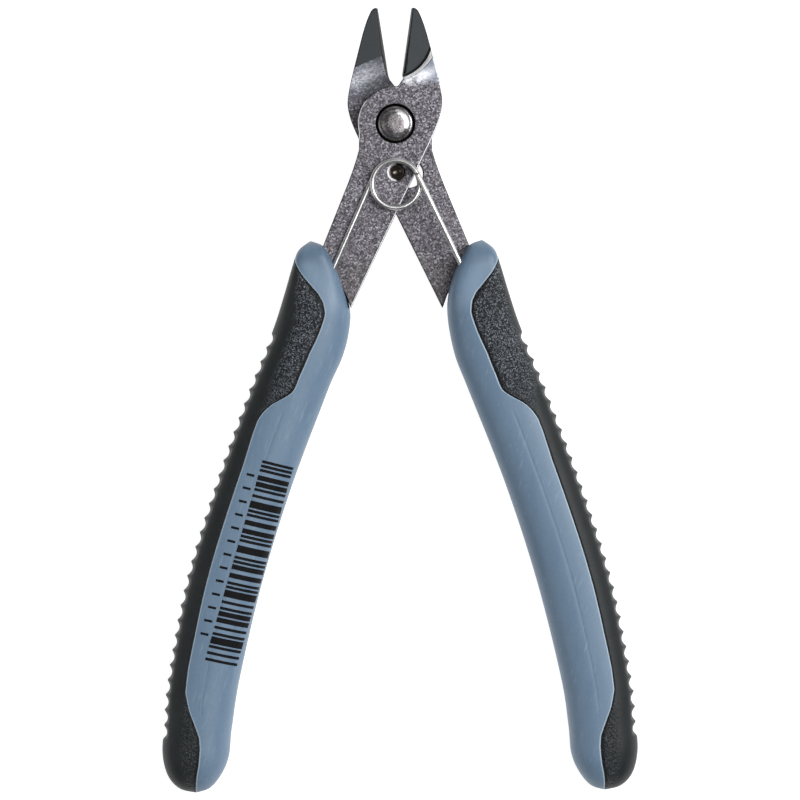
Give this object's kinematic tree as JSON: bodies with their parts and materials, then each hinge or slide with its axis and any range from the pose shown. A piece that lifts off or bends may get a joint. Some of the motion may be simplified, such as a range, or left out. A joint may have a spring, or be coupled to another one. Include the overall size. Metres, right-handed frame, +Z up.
{
  "type": "flush cutter",
  "caption": "Small spring-opening flush cutter for electronics work: crossed steel levers on a rivet, a looped wire spring and ridged soft-faced grips",
  "frame": {"origin": "middle of the bounding box on the surface the two grips lie on, with the tool flat and open", "axes": "+Z up through the tool's thickness, +Y along the tool to the cutting tips, +X across to the right handle"},
  "size_m": [0.0736, 0.1214, 0.01],
  "materials": {
    "lever_steel": "fine blasted grey steel, ground bright at the jaws",
    "rivet_steel": "scuffed satin steel",
    "pin_steel": "dark polished steel",
    "spring_steel": "bright drawn spring wire",
    "grip_core": "satin blue-grey moulded plastic",
    "grip_cover": "fine-grained black elastomer with ridges"
  },
  "bodies": {
    "pivot": {"pivot_rivet": "rivet_steel", "opening_spring": "spring_steel"},
    "front_half": {"front_lever": "lever_steel", "stop_pin": "pin_steel", "left_grip_core": "grip_core", "left_grip_cover": "grip_cover"},
    "rear_half": {"rear_lever": "lever_steel", "right_grip_core": "grip_core", "right_grip_cover": "grip_cover"}
  },
  "joints": [
    {"name": "front_lever_pivot", "type": "hinge", "parent": "pivot", "child": "front_half", "pos_m": [0, 0.04259, 0.005], "axis": [0, 0, 1], "range_deg": [0, 8.15], "stiffness_Nm_per_rad": 0.8, "springref_deg": -20.05, "deforming": ["opening_spring"]},
    {"name": "rear_lever_pivot", "type": "hinge", "parent": "pivot", "child": "rear_half", "pos_m": [0, 0.04259, 0.005], "axis": [0, 0, 1], "range_deg": [-8.15, 0]}
  ],
  "couplings": [
    {"joint": "rear_lever_pivot", "follows": "front_lever_pivot", "ratio": -1}
  ]
}
